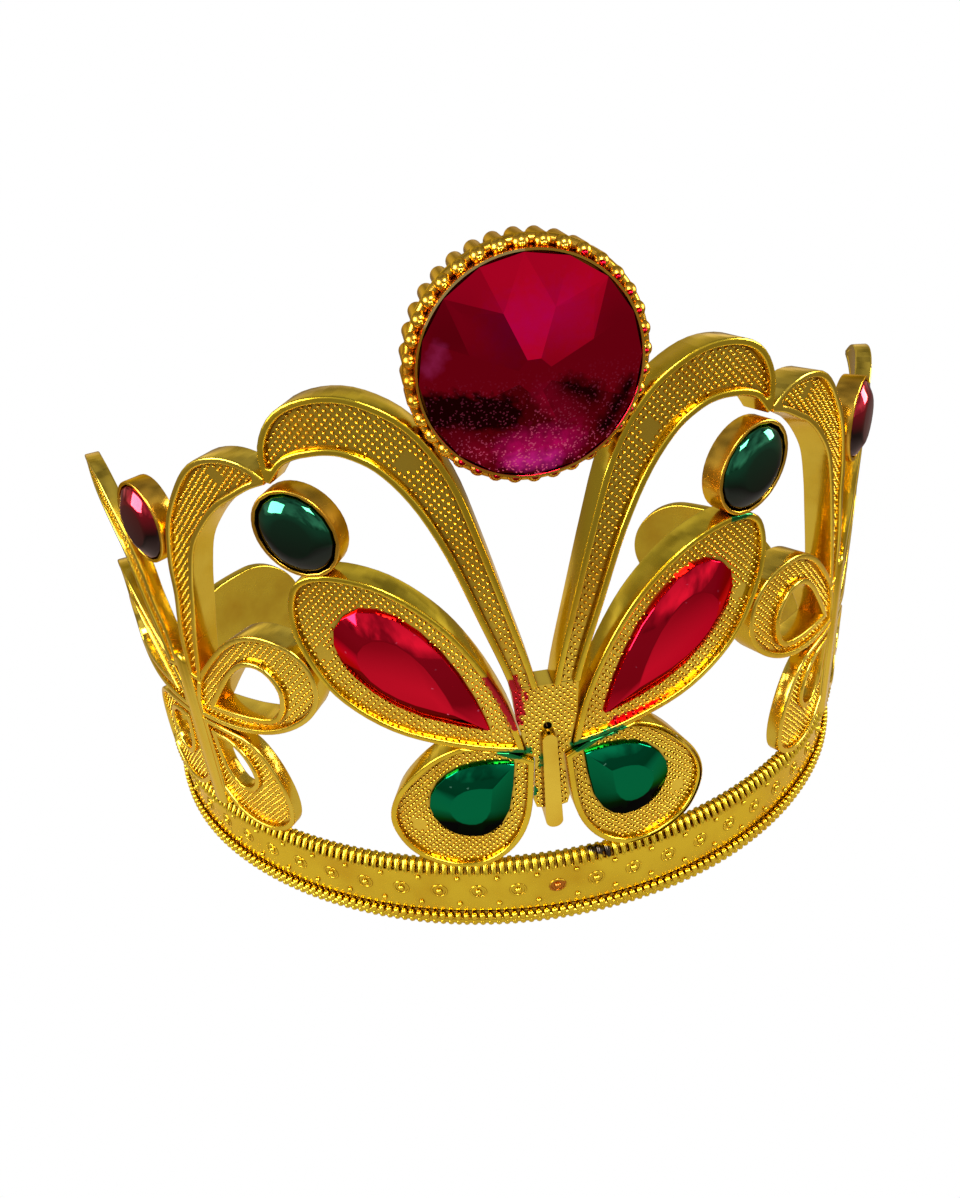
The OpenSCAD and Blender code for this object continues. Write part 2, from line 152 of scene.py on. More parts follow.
class Bench:
    """The steps that pieces go through on the way from an outline to a finished mesh."""

    @staticmethod
    def take(obj: Object) -> None:
        """Selects this object alone and makes it the active one.

        Args:
            obj: What the next operators work on.
        """
        if bpy.context.mode != "OBJECT":
            bpy.ops.object.mode_set(mode="OBJECT")
        bpy.ops.object.select_all(action="DESELECT")
        obj.select_set(True)
        bpy.context.view_layer.objects.active = obj

    @staticmethod
    @contextmanager
    def editing(obj: Object) -> Iterator[None]:
        """Opens a mesh for editing with all of it selected, and closes it afterwards.

        Args:
            obj: The mesh object.

        Yields:
            Nothing; the edits are made meanwhile.
        """
        Bench.take(obj)
        bpy.ops.object.mode_set(mode="EDIT")
        bpy.ops.mesh.select_all(action="SELECT")
        yield
        bpy.ops.object.mode_set(mode="OBJECT")

    @staticmethod
    def points(obj: Object) -> np.ndarray:
        """Returns the vertices of a mesh object, one row each."""
        return np.array([vertex.co for vertex in obj.data.vertices])

    @staticmethod
    def put(obj: Object, co: np.ndarray) -> None:
        """Moves the vertices of a mesh object to these rows."""
        obj.data.vertices.foreach_set("co", np.ascontiguousarray(co).ravel())
        obj.data.update()

    @staticmethod
    def copy_of(solid: Object, name: str) -> Object:
        """Copies a solid's mesh and closes its seams.

        Args:
            solid: The solid.
            name: Name of the copy.

        Returns:
            The copy, a new object.
        """
        obj = bpy.data.objects.new(name, solid.data.copy())
        bpy.context.collection.objects.link(obj)
        with Bench.editing(obj):
            bpy.ops.mesh.remove_doubles(threshold=2e-6)
        if obj.data.has_custom_normals:
            bpy.ops.mesh.customdata_custom_splitnormals_clear()
        return obj

    @staticmethod
    def cast(curve: bpy.types.Curve, lines: Loops, closed: bool) -> Object:
        """Draws straight runs on a curve and turns it into a mesh.

        Args:
            curve: The curve, with all its settings.
            lines: The runs, one row a point.
            closed: Whether each run comes back to its start.

        Returns:
            The mesh object, which has the curve's name.
        """
        for rows in lines:
            line = curve.splines.new("POLY")
            line.points.add(len(rows) - 1)
            line.points.foreach_set("co", np.column_stack([rows, np.ones(len(rows))]).ravel())
            line.use_cyclic_u = closed
        obj = bpy.data.objects.new(curve.name, curve)
        bpy.context.collection.objects.link(obj)
        Bench.take(obj)
        bpy.ops.object.convert(target="MESH")
        return bpy.context.object

    @staticmethod
    def bar(name: str, rows: np.ndarray, radius: float, fineness: int) -> Object:
        """Models a round bar with closed ends.

        Args:
            name: Its name.
            rows: Its path, one row a point.
            radius: Its radius.
            fineness: Steps in a quarter turn, less one.

        Returns:
            The bar.
        """
        curve = bpy.data.curves.new(name, "CURVE")
        curve.dimensions, curve.bevel_depth, curve.bevel_resolution = "3D", radius, fineness
        curve.use_fill_caps = True
        return Bench.cast(curve, [rows], False)

    @staticmethod
    def unit(size: Place = (1.0, 1.0, 1.0)) -> Unit:
        """Takes the active object apart, so that it can be repeated, and removes it.

        Args:
            size: How it is stretched along its own axes.

        Returns:
            Its vertices in place and its faces.
        """
        obj = bpy.context.object
        Bench.take(obj)
        obj.scale = size
        bpy.ops.object.transform_apply(location=True, rotation=True, scale=True)
        rows, faces = Bench.points(obj), [list(p.vertices) for p in obj.data.polygons]
        bpy.data.objects.remove(obj)
        return rows, faces

    @staticmethod
    def wrap(obj: Object, step: float) -> None:
        """Cuts a piece of the strip across where it has to bend and wraps it on the ring.

        Args:
            obj: The piece, on the strip.
            step: Distance between two cuts.
        """
        along = Bench.points(obj)[:, 0]
        with Bench.editing(obj):
            for s in np.arange(math.ceil(along.min() / step) * step, along.max(), step):
                bpy.ops.mesh.select_all(action="SELECT")
                bpy.ops.mesh.bisect(plane_co=(s, 0, 0), plane_no=(1, 0, 0), threshold=0.01)
        Bench.put(obj, RING.wrap(Bench.points(obj)))

    @staticmethod
    def finish(obj: Object, material: Finish, slot: Slot, *solids: str, smooth: float = 38.0) -> None:
        """Smooths a finished piece, dresses it and hangs it on the tiara.

        Args:
            obj: The piece.
            material: Its finish.
            slot: The record's slot for it; not used.
            solids: The solids that it stands for, if any.
            smooth: The shading runs on where faces meet at less than this many degrees.
        """
        Bench.take(obj)
        bpy.ops.object.shade_smooth_by_angle(angle=math.radians(smooth), keep_sharp_edges=False)
        obj.data.materials.clear()
        obj.data.materials.append(material)
        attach(obj, "root")
        if solids:
            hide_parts(*solids)
        LOG.info("%s: %d faces", obj.name, len(obj.data.polygons))

    @staticmethod
    def strew(name: str, unit: Unit, places: np.ndarray, material: Finish, slot: Slot, flat: bool = True) -> None:
        """Finishes a piece that is made of many copies of a small round shape.

        Args:
            name: Name of the piece.
            unit: Vertices and faces of the shape.
            places: One row a copy.
            material: Its finish.
            slot: The record's slot for it.
            flat: Whether the places are on the strip.
        """
        rows, faces = unit
        co = (places[:, None, :] + rows[None]).reshape(-1, 3)
        mesh = bpy.data.meshes.new(name)
        mesh.from_pydata((RING.wrap(co) if flat else co).tolist(), [], [
            [v + k * len(rows) for v in face] for k in range(len(places)) for face in faces])
        obj = bpy.data.objects.new(name, mesh)
        bpy.context.collection.objects.link(obj)
        Bench.finish(obj, material, slot, smooth=180.0)


class Outline:
    """Outlines on the strip: where a solid's face lies at a depth, and what is inside it."""

    @staticmethod
    def at(flat: Object, out: float, slack: float = 0.06, facing: float = 0.8, least: float = 0.15) -> Loops:
        """Finds the edges of the faces that look forward at a level.

        Args:
            flat: The solid's copy on the strip.
            out: The level.
            slack: How far off the level a vertex may be.
            facing: How far forward a face has to look, 1 at most.
            least: Area of the smallest outline that counts.

        Returns:
            Closed loops of along and height.
        """
        co = Bench.points(flat)
        once: dict[tuple[int, int], None] = {}
        for face in flat.data.polygons:
            ids = list(face.vertices)
            if abs(face.normal.z) < facing or np.abs(co[ids, 2] - out).max() > slack:
                continue
            for pair in zip(ids, ids[1:] + ids[:1]):
                if pair[::-1] in once:
                    del once[pair[::-1]]
                else:
                    once[pair] = None
        after: dict[int, list[int]] = {}
        for a, b in once:
            after.setdefault(a, []).append(b)
        loops = []
        while after:
            start = next(iter(after))
            loop, here = [], start
            while here in after:
                loop.append(here)
                there = after[here].pop()
                if not after[here]:
                    del after[here]
                here = there
            if here == start and len(loop) > 3:
                loops.append(Outline.thinned(co[loop][:, :2]))
        return [loop for loop in loops if len(loop) > 3 and abs(Outline.area(loop)) > least]

    @staticmethod
    def thinned(loop: np.ndarray, least: float = 0.06) -> np.ndarray:
        """Drops points that lie closer than a least distance to the one before.

        Args:
            loop: The outline.
            least: The least distance.

        Returns:
            The outline with fewer points.
        """
        kept = [loop[0]]
        for point in loop[1:]:
            if np.hypot(*(point - kept[-1])) > least:
                kept.append(point)
        if np.hypot(*(kept[0] - kept[-1])) < least:
            kept.pop()
        return np.array(kept)

    @staticmethod
    def area(loop: np.ndarray) -> float:
        """Returns the area inside a loop, positive where it runs anticlockwise."""
        x, y = loop.T
        return float((x * np.roll(y, -1) - y * np.roll(x, -1)).sum() / 2)

    @staticmethod
    def within(points: np.ndarray, loops: Loops, margin: float) -> np.ndarray:
        """Tests which points lie inside outlines with holes, and well clear of them.

        Args:
            points: Rows of along and height.
            loops: The outlines.
            margin: The least distance from an outline.

        Returns:
            True for each point that does.
        """
        x, y = points.T
        odd, clear = np.zeros(len(points), bool), np.ones(len(points), bool)
        for loop in loops:
            for start, way in zip(loop, np.roll(loop, -1, 0) - loop):
                spans = (start[1] > y) != (start[1] + way[1] > y)
                odd ^= spans & (x < start[0] + (y - start[1]) * way[0] / (way[1] or 1.0))
                share = np.clip((points - start) @ way / max(way @ way, 1e-12), 0, 1)
                clear &= np.hypot(*(points - start - share[:, None] * way).T) > margin
        return odd & clear


@dataclass
class Board:
    """A tree of shader nodes, with short ways to set and wire them."""

    tree: Tree

    @staticmethod
    def material(name: str) -> tuple[Finish, "Board"]:
        """Starts a material.

        Args:
            name: Its name.

        Returns:
            The material and its board.
        """
        mat = bpy.data.materials.new(name)
        mat.use_nodes = True
        return mat, Board(mat.node_tree)

    @staticmethod
    def group(name: str, inputs: dict[str, float | Place], outputs: tuple[str, ...]) -> tuple:
        """Opens a node group with its sockets.

        Args:
            name: Name of the group.
            inputs: Names of the inputs with their first values, numbers or places.
            outputs: Names of the outputs, all of them numbers.

        Returns:
            Its board, the sockets that its inputs come from, and those that its outputs go to.
        """
        tree = bpy.data.node_groups.new(name, "ShaderNodeTree")
        for label, value in inputs.items():
            kind = "NodeSocketVector" if isinstance(value, tuple) else "NodeSocketFloat"
            tree.interface.new_socket(label, in_out="INPUT", socket_type=kind).default_value = value
        for label in outputs:
            tree.interface.new_socket(label, in_out="OUTPUT", socket_type="NodeSocketFloat")
        return Board(tree), tree.nodes.new("NodeGroupInput").outputs, tree.nodes.new("NodeGroupOutput").inputs

    def feed(self, node: Node, inputs: dict) -> None:
        """Sets or wires inputs of a node.

        Args:
            node: The node.
            inputs: A value or the socket of another node for each input.
        """
        for label, value in inputs.items():
            if isinstance(value, Socket):
                self.tree.links.new(value, node.inputs[label])
            else:
                node.inputs[label].default_value = value

    def add(self, kind: str, inputs: dict | None = None, **settings: object) -> Node:
        """Adds a node.

        Args:
            kind: Its kind, as Blender names it.
            inputs: A value or the socket of another node for each input.
            settings: Its own settings, which come first.

        Returns:
            The node.
        """
        node = self.tree.nodes.new(f"ShaderNode{kind}")
        for name, value in settings.items():
            setattr(node, name, value)
        self.feed(node, inputs or {})
        return node

    def work(self, operation: str, a: Socket, b: Socket | None = None, **settings: object) -> Socket:
        """Works on vectors or numbers.

        Args:
            operation: What is done.
            a: The first one, which tells what they are.
            b: The second one, if any; a vector is scaled by a number.
            settings: Other settings of the node.

        Returns:
            The result.
        """
        kind = "VectorMath" if a.type == "VECTOR" else "Math"
        inputs = {0: a} if b is None else {0: a, "Scale" if operation == "SCALE" else 1: b}
        node = self.add(kind, inputs, operation=operation, **settings)
        return next(socket for socket in node.outputs if socket.enabled)

    def span(self, value: Socket, **ends: float | Socket) -> Socket:
        """Spreads a range of numbers over another one.

        Args:
            value: The number.
            ends: Ends of the two ranges, from_min to to_max; 0 and 1 where they are left out.

        Returns:
            The result.
        """
        inputs = {label.replace("_", " ").title(): end for label, end in ends.items()}
        return self.add("MapRange", {"Value": value, **inputs}).outputs["Result"]

    def mix(self, factor: Socket, a: Socket | Colour, b: Socket | Colour) -> Socket:
        """Mixes two colours, each of them fixed or wired, and returns the result."""
        a, b = (value if isinstance(value, Socket) else (*value, 1) for value in (a, b))
        return self.add("Mix", {"Factor": factor, "A": a, "B": b}, data_type="RGBA").outputs["Result"]

    def paint(self, colour: Socket, strokes: tuple["Stroke", ...]) -> Socket:
        """Lays strokes over a colour.

        Args:
            colour: The colour below.
            strokes: The strokes, the lowest first.

        Returns:
            The colour with the strokes on it.
        """
        for stroke in strokes:
            colour = self.mix(stroke.mask(self), colour, stroke.colour)
        return colour

    def ramp(self, value: Socket, stops: tuple) -> Socket:
        """Runs from colour to colour.

        Args:
            value: Where on the way, from 0 to 1.
            stops: Places on the way, each with its colour.

        Returns:
            The colour there.
        """
        node = self.add("ValToRGB", {"Fac": value})
        made = node.color_ramp.elements
        made.remove(made[1])
        made[0].position, made[0].color = stops[0][0], (*stops[0][1], 1)
        for position, colour in stops[1:]:
            made.new(position).color = (*colour, 1)
        return node.outputs["Color"]

    def backdrop(self, mirrored: Socket, seen: Socket, end: str) -> None:
        """Ends a tree of the studio, which the plating mirrors otherwise than it is seen.

        Args:
            mirrored: The shader for what the plating mirrors.
            seen: The shader for what the camera sees.
            end: Name of the tree's last node.
        """
        path = self.add("LightPath").outputs["Is Camera Ray"]
        both = self.add("MixShader", {"Fac": path, 1: mirrored, 2: seen})
        self.feed(self.tree.nodes[end], {"Surface": both.outputs["Shader"]})


class Skin:
    """Shader node groups that several finishes share, each built once."""

    @staticmethod
    @cache
    def plating() -> Tree:
        """Builds the uneven sheen of vacuum plating: slow swells, fine orange peel and dull patches.

        Returns:
            The group, with a mask of dull patches and a height.
        """
        board, _, sink = Board.group("plating", {}, ("Dull", "Height"))
        place = board.add("TexCoord").outputs["Object"]
        swell = board.add("TexNoise", {"Vector": place, "Scale": 160.0})
        peel = board.add("TexNoise", {"Vector": place, "Scale": 1500.0})
        patch = board.add("TexNoise", {"Vector": place, "Scale": 90.0, "Detail": 4.0})
        height = board.add("Mix", {"Factor": 0.25, "A": swell.outputs["Fac"], "B": peel.outputs["Fac"]})
        board.tree.links.new(height.outputs["Result"], sink["Height"])
        board.tree.links.new(board.span(patch.outputs["Fac"], from_min=0.42, from_max=0.68), sink["Dull"])
        return board.tree

    @staticmethod
    @cache
    def glitter() -> Tree:
        """Builds fine flakes under the lacquer, which are partly painted glints: sparse bright cells, thicker low
        on the piece.

        Returns:
            The group, with a mask of the flakes.
        """
        board, source, sink = Board.group(
            "glitter", {"Cell scale": 3200.0, "Rarity": 0.93, "Top": 0.1, "Bottom": 0.09}, ("Flakes",))
        place = board.add("TexCoord").outputs["Object"]
        cells = board.add("TexVoronoi", {"Vector": place, "Scale": source["Cell scale"]})
        tones = board.add("SeparateColor", {"Color": cells.outputs["Color"]})
        rare = board.work("GREATER_THAN", tones.outputs["Red"], source["Rarity"])
        height = board.add("SeparateXYZ", {"Vector": place}).outputs["Z"]
        low = board.span(height, from_min=source["Top"], from_max=source["Bottom"])
        board.tree.links.new(board.work("MULTIPLY", rare, low), sink["Flakes"])
        return board.tree

    @staticmethod
    @cache
    def stroke() -> Tree:
        """Builds one stroke of colour, used for stray lacquer, wear, painted highlights and painted shade: all that
        lies near a line, with an uneven edge.

        Returns:
            The group, with the mask of the stroke.
        """
        board, source, sink = Board.group(
            "stroke", {"Start": (0.0, 0.0, 0.0), "End": (0.0, 0.0, 0.01), "Width": 0.0006, "Core": 1.25}, ("Mask",))
        place = board.add("TexCoord").outputs["Object"]
        noise = board.add("TexNoise", {"Vector": place, "Scale": 1100.0})
        here = board.work("SUBTRACT", place, source["Start"])
        way = board.work("SUBTRACT", source["End"], source["Start"])
        share = board.work(
            "DIVIDE", board.work("DOT_PRODUCT", here, way), board.work("DOT_PRODUCT", way, way), use_clamp=True)
        foot = board.work("SCALE", way, share)
        away = board.work("DIVIDE", board.work("DISTANCE", here, foot), source["Width"])
        uneven = board.work("ADD", away, noise.outputs["Fac"])
        mask = board.span(uneven, from_min=source["Core"], from_max=1.5, to_min=1.0, to_max=0.0)
        board.tree.links.new(mask, sink["Mask"])
        return board.tree


@dataclass(frozen=True)
class Stroke:
    """A stroke of colour from one place of the strip to another; strokes stand for stray lacquer, worn spots,
    painted highlights and painted shade.
    """

    start: Place
    end: Place
    width: float
    colour: Colour
    core: float = 1.25

    def mask(self, board: Board) -> Socket:
        """Places the stroke in a material.

        Args:
            board: The material's board.

        Returns:
            The stroke's mask.
        """
        start, end = RING.wrap(np.array([self.start, self.end])).tolist()
        inputs = {"Start": start, "End": end, "Width": self.width * MM, "Core": self.core}
        return board.add("Group", inputs, node_tree=Skin.stroke()).outputs["Mask"]


RED, GREEN = (0.5, 0.006, 0.016), (0.0, 0.19, 0.045)
BARE, AMBER, GLEAM = (0.04, 0.028, 0.018), (0.5, 0.16, 0.01), (1.0, 0.76, 0.28)
SMEARS = tuple(Stroke(*row) for row in (
    ((-8.4, 54.2, -0.5), (-6.7, 50.6, -0.5), 1.4, RED),
    ((-6.7, 50.6, -0.5), (-5.1, 45.2, -0.5), 1.3, RED),
    ((-5.0, 53.2, -0.5), (-4.4, 47.1, -0.6), 1.2, RED),
    ((-2.1, 52.2, -0.6), (-1.9, 51.6, -0.6), 0.5, RED),
    ((-3.1, 50.4, -0.9), (-3.0, 49.2, -0.9), 0.4, RED),
    ((11.3, 41.8, -1.4), (21.0, 43.0, -1.4), 1.5, RED),
    ((4.4, 39.2, -0.3), (11.9, 40.6, -0.3), 1.3, GREEN),
    ((-7.7, 39.6, -0.3), (-3.5, 39.3, -0.3), 1.1, GREEN),
    ((-1.3, 38.4, -0.2), (-1.4, 35.9, -0.4), 0.7, GREEN),
    ((-3.1, 31.2, -0.9), (-3.0, 30.2, -0.9), 0.7, GREEN),
    ((0.0, 43.6, -1.6), (0.0, 43.8, -1.6), 1.0, BARE),
    ((-38.5, 87.4, -0.4), (-37.9, 84.6, -0.4), 0.9, GREEN),
    ((34.8, 72.8, -0.4), (31.8, 72.6, -0.4), 1.1, GREEN),
))
# Painted light and shade on the big stone: the bright strokes are painted reflections and highlights, the dark ones
# painted shade.
BIG_STONE_LIGHT_AND_SHADE = tuple(Stroke(*row) for row in (
    ((-2.0, 108.0, 4.5), (4.0, 109.0, 4.4), 5.0, (0.46, 0.0, 0.07), 0.1),
    ((-12.0, 103.8, 3.6), (-10.6, 106.0, 3.6), 1.6, (0.9, 0.05, 0.28), 0.1),
    ((-11.8, 98.4, 3.5), (-4.0, 97.4, 4.4), 3.0, (0.035, 0.0, 0.0), 1.1),
    ((3.8, 100.2, 4.6), (7.2, 98.4, 4.2), 2.0, (0.04, 0.0, 0.0), 0.6),
    ((11.6, 98.5, 3.4), (8.6, 93.4, 3.2), 1.8, (0.03, 0.0, 0.0), 0.6),
    ((1.0, 99.6, 4.6), (5.2, 94.6, 3.9), 2.4, (0.6, 0.002, 0.05), 0.4),
    ((-9.5, 94.6, 3.8), (-6.4, 92.0, 3.4), 2.2, (0.45, 0.002, 0.035), 0.1),
    ((-2.6, 92.2, 3.4), (3.4, 92.4, 3.4), 3.6, (0.75, 0.004, 0.18), 0.3),
    ((-2.4, 90.3, 3.2), (1.8, 90.0, 3.2), 2.0, (1.0, 0.03, 0.5), 0.1),
))
# Painted highlight on the upper left of the medallion's lip.
LIP_SHINE = (
    Stroke((-12.4, 109.2, 3.3), (-9.2, 113.0, 2.9), 0.7, GLEAM),
    Stroke((-9.2, 113.0, 2.9), (-4.9, 115.4, 2.5), 0.7, GLEAM),
    Stroke((-4.9, 115.4, 2.5), (-0.5, 116.3, 2.4), 0.7, GLEAM),
)
BAND_WEAR = (
    Stroke((6.9, 14.7, -1.6), (9.6, 14.0, -0.7), 1.0, BARE),
    Stroke((0.0, 7.7, -1.0), (0.35, 7.7, -1.0), 1.5, AMBER),
)


@dataclass(frozen=True)
class Plated:
    """Gold metallised plastic."""

    name: str
    colour: Colour = (0.84, 0.60, 0.03)
    deep: Colour = (0.72, 0.45, 0.015)
    sheen: Pair = (0.16, 0.3)
    strokes: tuple[Stroke, ...] = ()
    # Painted shade: ambient occlusion within the crevice reach, in millimetres, darkens the gold towards the shade
    # colour below as it runs between the two depths; a reach of 0 leaves it out.
    crevice: float = 0.0
    crevice_shade: Colour = (0.22, 0.075, 0.002)
    depths: Pair = (0.4, 0.85)
    coat: float = 0.3
    coat_rough: float = 0.12
    glance: Colour = (1.0, 0.78, 0.35)
    ripple: float = 0.00002

    def material(self) -> Finish:
        """Makes the material: two golds in patches, with painted shade in the crevices and strokes on top.

        Returns:
            The material.
        """
        mat, board = Board.material(self.name)
        skin = board.add("Group", node_tree=Skin.plating())
        colour = board.mix(skin.outputs["Dull"], self.colour, self.deep)
        if self.crevice:
            # Painted shade: ambient occlusion darkens the colour in crevices and between pebbles.
            hollow = board.add("AmbientOcclusion", {"Distance": self.crevice * MM}, samples=6)
            unshaded = board.span(hollow.outputs["AO"], from_min=self.depths[0], from_max=self.depths[1])
            colour = board.mix(unshaded, self.crevice_shade, colour)
        bump = board.add("Bump", {"Distance": self.ripple, "Height": skin.outputs["Height"]})
        board.feed(mat.node_tree.nodes["Principled BSDF"], {
            "Metallic": 1.0, "Specular Tint": (*self.glance, 1), "Coat Weight": self.coat,
            "Coat Roughness": self.coat_rough, "Base Color": board.paint(colour, self.strokes),
            "Roughness": board.span(skin.outputs["Dull"], to_min=self.sheen[0], to_max=self.sheen[1]),
            "Normal": bump.outputs["Normal"]})
        return mat


@dataclass(frozen=True)
class Lacquer:
    """Transparent colour over the plating: painted shade on facets that look down, and flakes that are partly
    painted glints.
    """

    name: str
    colour: Colour
    # Painted shade: the colour of facets that look down.
    deep: Colour
    # The flakes are partly painted glints: bright cells of this colour, gathered low on the piece.
    flake: Colour
    rarity: float = 0.998
    top: float = 0.07
    bottom: float = 0.05
    # Slopes of the facet over which the painted shade turns into the lit colour.
    turn: Pair = (-0.24, -0.02)
    cells: float = 3200.0
    strokes: tuple[Stroke, ...] = ()
    coat: float = 0.03
    coat_rough: float = 0.03
    rough: float = 0.06
    paleness: float = 0.2

    def material(self) -> Finish:
        """Makes the material: a lit colour and painted shade by the facet's slope, strokes on it, and flakes on
        top.

        Returns:
            The material.
        """
        mat, board = Board.material(self.name)
        slope = board.add("SeparateXYZ", {"Vector": board.add("TexCoord").outputs["Normal"]}).outputs["Z"]
        # Painted shade: facets that look down take the deep colour, those that look up the lit one.
        lit = board.span(slope, from_min=self.turn[0], from_max=self.turn[1])
        colour = board.paint(board.mix(lit, self.deep, self.colour), self.strokes)
        # Flakes, partly painted glints, lie over the colour low on the piece.
        flakes = board.add("Group", {
            "Rarity": self.rarity, "Top": self.top, "Bottom": self.bottom, "Cell scale": self.cells},
            node_tree=Skin.glitter()).outputs["Flakes"]
        tint = [self.paleness + (1 - self.paleness) * tone for tone in self.colour]
        board.feed(mat.node_tree.nodes["Principled BSDF"], {
            "Metallic": 1.0, "Specular Tint": (*tint, 1), "Roughness": self.rough, "Coat Weight": self.coat,
            "Coat Roughness": self.coat_rough, "Base Color": board.mix(flakes, colour, self.flake)})
        return mat


@dataclass
class Castings:
    """The relief pieces: each a raised, rounded rim round a sunken field full of pebbles.

    The discs are the flat spots in the fields, as [along, height]; the lap is how far fields and
    backs reach under the rims.
    """

    gold: Finish
    grain: Finish
    smeared: Finish
    smeared_grain: Finish
    names: tuple[str, ...] = (
        "tall_arch", "front_side_arch", "rear_side_arch", "upper_wing", "lower_wing", "front_loop", "rear_loop",
        "front_leaf", "rear_leaf")
    stained: tuple[str, ...] = ("tall_arch", "upper_wing", "lower_wing")
    sunk: float = 0.9
    thick: float = 4.8
    thin: float = 2.7
    edge: float = 0.3
    proud: float = 0.03
    lap: float = 0.35
    bend: float = 1.5
    discs: tuple[Pair, ...] = ((16.8, 90.0), (47.5, 87.8), (34.7, 58.6), (23.0, 24.0))
    disc: float = 1.3
    dense: tuple[str, ...] = ("lower", "leaf", "body")
    pitch: float = 0.62
    dense_pitch: float = 0.58
    jitter: float = 0.07
    margin: float = 0.25
    pebble_z: float = 0.08
    pebble: Unit = ()

    def dome(self) -> Unit:
        """Models one pebble: a low stump with two more steps up to its crown.

        Returns:
            Its vertices and faces.
        """
        bpy.ops.mesh.primitive_cone_add(vertices=7, radius1=0.27, radius2=0.21, depth=0.2, end_fill_type="NOTHING")
        obj = bpy.context.object
        with Bench.editing(obj):
            bpy.ops.mesh.select_all(action="DESELECT")
        for vertex in obj.data.vertices:
            vertex.select = vertex.co.z > 0
        bpy.ops.object.mode_set(mode="EDIT")
        for up, size in ((0.13, 0.55), (0.05, 0.0)):
            bpy.ops.mesh.extrude_region_move(TRANSFORM_OT_translate={"value": (0, 0, up)})
            bpy.ops.transform.resize(value=(size, size, 1))
        with Bench.editing(obj):
            bpy.ops.mesh.remove_doubles(threshold=0.01)
        return Bench.unit()

    def plate(self, name: str, loops: Loops, front: float, back: float, edge: float, grow: float) -> Object:
        """Cuts a flat plate to an outline and rounds its edges.

        Args:
            name: Name of the plate.
            loops: Its outlines, holes among them.
            front: Level of its front, out of the ring.
            back: Level of its back.
            edge: Radius of its edges.
            grow: How far it stands outside the outline.

        Returns:
            The plate, on the strip.
        """
        curve = bpy.data.curves.new(name, "CURVE")
        curve.dimensions, curve.fill_mode = "2D", "BOTH"
        curve.extrude, curve.bevel_depth = (front - back) / 2 - edge, edge
        curve.bevel_resolution, curve.offset = 2, grow - edge
        obj = Bench.cast(curve, [np.column_stack([loop, np.zeros(len(loop))]) for loop in loops], True)
        obj.location.z = (front + back) / 2
        bpy.ops.object.transform_apply(location=True, rotation=True, scale=True)
        with Bench.editing(obj):
            bpy.ops.mesh.remove_doubles(threshold=0.002)
        return obj

    def pebbles(self, name: str, loops: Loops, material: Finish) -> None:
        """Strews the pebbles of one field, in staggered rows round its flat discs.

        Args:
            name: The casting's solid.
            loops: Outline of the field.
            material: Finish of the pebbles.
        """
        points = np.concatenate(loops)
        low, high = points.min(0), points.max(0)
        up = self.dense_pitch if any(word in name for word in self.dense) else self.pitch
        across = 2 * up
        rows = np.arange(math.ceil(low[1] / up), high[1] / up)
        spots = np.array([
            (across * (c + 0.5 * (k % 2)), up * k)
            for k in rows for c in np.arange(math.floor(low[0] / across), high[0] / across)])
        spots += np.random.default_rng(len(name)).uniform(-self.jitter, self.jitter, spots.shape)
        keep = Outline.within(spots, loops, self.margin)
        for s, z in self.discs:
            keep &= np.hypot(np.abs(spots[:, 0]) - s, spots[:, 1] - z) > self.disc
        places = np.column_stack([spots[keep], np.full(keep.sum(), self.pebble_z - self.sunk)])
        Bench.strew(f"{name}_pebbles", self.pebble, places, material, Slot.GOLD)

    def flattened(self, solid: Object) -> tuple[Loops, Loops, np.ndarray]:
        """Unrolls a solid and reads its outlines.

        Args:
            solid: The solid.

        Returns:
            Outlines of its rim and of its field, and its lowest along, height and out.
        """
        flat = Bench.copy_of(solid, f"{solid.name}_flat")
        Bench.put(flat, RING.unroll(Bench.points(flat)))
        found = Outline.at(flat, 0.0), Outline.at(flat, -self.sunk), Bench.points(flat).min(0)
        bpy.data.objects.remove(flat)
        return found

    def casting(self, solid: Object, floor: float | None) -> None:
        """Builds one casting with its rim, its field and its pebbles.

        Args:
            solid: The solid that it stands for.
            floor: Level behind its stone, or None if it is pierced.
        """
        name = solid.name
        stained = name.rsplit("_", 1)[0] in self.stained
        gold, grain = (self.smeared, self.smeared_grain) if stained else (self.gold, self.grain)
        rims, fields, (_, low, back) = self.flattened(solid)
        wall = self.thin if back > -(self.thin + self.thick) / 2 else self.thick
        plates = [("casting", rims, 0.0, -wall, self.edge, self.proud, gold),
                  ("ground", fields, -self.sunk, 0.1 - wall, 0.0, self.lap, grain)]
        if floor is not None:
            outer = max(fields, key=lambda loop: abs(Outline.area(loop)))
            plates.append(("back", [outer], floor, -0.02 - wall, 0.0, self.lap, gold))
        for part, loops, front, rear, edge, grow, material in plates:
            obj = self.plate(f"{name}_{part}", loops, front, rear, edge, grow)
            rows = Bench.points(obj)
            rows[:, 1] = np.maximum(rows[:, 1], low)
            Bench.put(obj, rows)
            Bench.wrap(obj, self.bend)
            Bench.finish(obj, material, Slot.GOLD, *([] if part == "back" else [name]))
        self.pebbles(name, fields, grain)

    def build(self, solids: Solids) -> None:
        """Builds all castings, and the pebbles of the butterfly's body.

        Args:
            solids: The solids by name.
        """
        self.pebble = self.dome()
        for name in self.names:
            for side in ("left", "right"):
                stone = solids.get(f"{name}_stone_{side}")
                floor = RING.unroll(Bench.points(stone))[:, 2].min() - 0.05 if stone else None
                self.casting(solids[f"{name}_{side}"], floor)
        self.pebbles("butterfly_body", self.flattened(solids["butterfly_body"])[1], self.smeared_grain)


